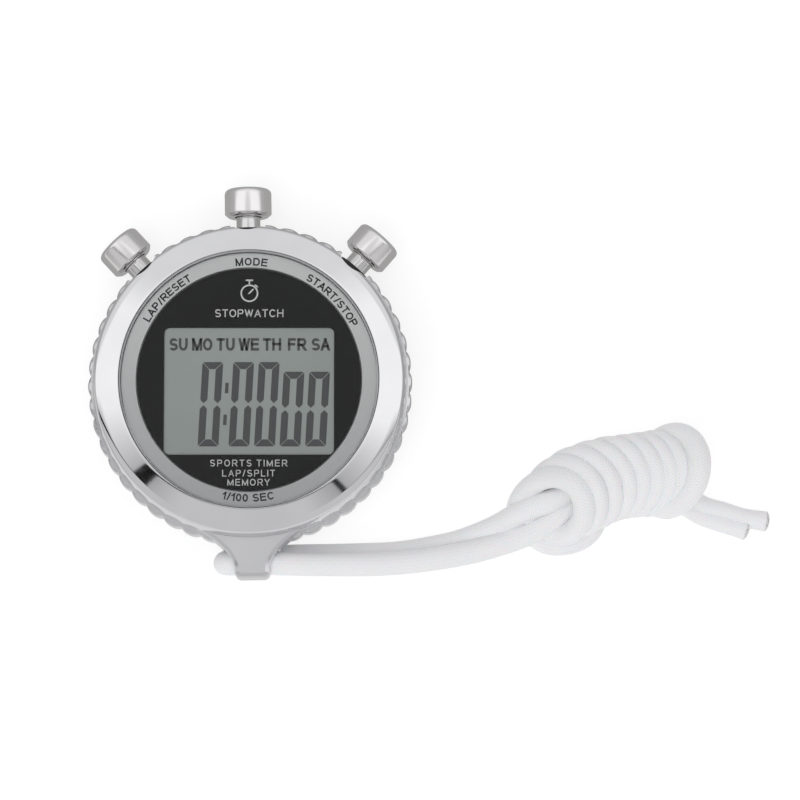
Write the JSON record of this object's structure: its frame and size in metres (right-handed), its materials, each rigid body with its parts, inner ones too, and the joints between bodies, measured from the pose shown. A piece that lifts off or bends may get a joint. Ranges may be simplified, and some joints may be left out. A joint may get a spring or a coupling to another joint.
{
  "type": "stopwatch",
  "caption": "Hand-held digital stopwatch in a round scalloped case with pushers, a liquid crystal display and a wrapped neck cord; times events to hundredths.",
  "frame": {"origin": "middle of the case back's outer flat face", "axes": "+Z out of the display, +Y towards the 12 o'clock pusher, +X towards the side where the cord lies"},
  "size_m": [0.1317, 0.0758, 0.0189],
  "materials": {
    "satin_case": "satin nickel-coloured plating",
    "polished_bezel": "polished silver plating",
    "back_steel": "brushed",
    "screw_steel": "plain",
    "black_rubber": "matt",
    "strip_rubber": "matt",
    "clear_lens": "clear, anti-glare",
    "black_face": "printed satin black",
    "satin_ring": "satin with dark printed legends",
    "display_glass": "grey-green liquid crystal display",
    "reflector_film": "grey film",
    "module_plastic": "moulded black",
    "board_laminate": "green solder mask",
    "chip_epoxy": "moulded black",
    "crystal_can": "bright can",
    "capacitor_ceramic": "fired ceramic",
    "cell_steel": "bright nickel plate",
    "contact_metal": "plated spring metal",
    "buzzer_brass": "bright",
    "satin_nickel": "satin nickel plating, slightly warm",
    "stem_steel": "turned",
    "cord_fabric": "white braided cord"
  },
  "bodies": {
    "case": {"case_body": "satin_case", "front_bezel": "polished_bezel", "case_back": "back_steel", "case_back_screws": "screw_steel", "case_back_gasket": "black_rubber", "bezel_gasket": "black_rubber", "lens": "clear_lens", "lens_gasket": "black_rubber", "face_panel": "black_face", "legend_ring": "satin_ring", "lcd_panel": "display_glass", "lcd_reflector": "reflector_film", "zebra_strips": "strip_rubber", "module_frame": "module_plastic", "circuit_board": "board_laminate", "board_screws": "screw_steel", "controller_chip": "chip_epoxy", "quartz_crystal": "crystal_can", "chip_capacitors": "capacitor_ceramic", "button_cell": "cell_steel", "battery_holder": "module_plastic", "battery_clip": "contact_metal", "battery_contact": "contact_metal", "buzzer_disc": "buzzer_brass", "buzzer_spring": "contact_metal", "mode_tube": "satin_nickel", "mode_spring": "contact_metal", "mode_switch_leaf": "contact_metal", "start_stop_tube": "satin_nickel", "start_stop_spring": "contact_metal", "start_stop_switch_leaf": "contact_metal", "lap_reset_tube": "satin_nickel", "lap_reset_spring": "contact_metal", "lap_reset_switch_leaf": "contact_metal", "lanyard_loop": "cord_fabric"},
    "mode_pusher": {"mode_cap": "satin_nickel", "mode_stem": "stem_steel", "mode_seal": "black_rubber", "mode_clip": "contact_metal"},
    "start_stop_pusher": {"start_stop_cap": "satin_nickel", "start_stop_stem": "stem_steel", "start_stop_seal": "black_rubber", "start_stop_clip": "contact_metal"},
    "lap_reset_pusher": {"lap_reset_cap": "satin_nickel", "lap_reset_stem": "stem_steel", "lap_reset_seal": "black_rubber", "lap_reset_clip": "contact_metal"},
    "lanyard": {"lanyard_cord": "cord_fabric"}
  },
  "joints": [
    {"name": "mode_press", "type": "slide", "parent": "case", "child": "mode_pusher", "axis": [0, -1, 0], "range_m": [0, 0.0012], "stiffness_N_per_m": 900, "springref_m": -0.001, "deforming": ["mode_spring", "mode_switch_leaf"]},
    {"name": "start_stop_press", "type": "slide", "parent": "case", "child": "start_stop_pusher", "axis": [-0.6691, -0.7431, 0], "range_m": [0, 0.0012], "stiffness_N_per_m": 900, "springref_m": -0.001, "deforming": ["start_stop_spring", "start_stop_switch_leaf"]},
    {"name": "lap_reset_press", "type": "slide", "parent": "case", "child": "lap_reset_pusher", "axis": [0.6691, -0.7431, 0], "range_m": [0, 0.0012], "stiffness_N_per_m": 900, "springref_m": -0.001, "deforming": ["lap_reset_spring", "lap_reset_switch_leaf"]},
    {"name": "lanyard_swing", "type": "hinge", "parent": "case", "child": "lanyard", "pos_m": [0.01, -0.0335, 0], "axis": [0, 0, 1], "range_deg": [-90, 20]}
  ]
}
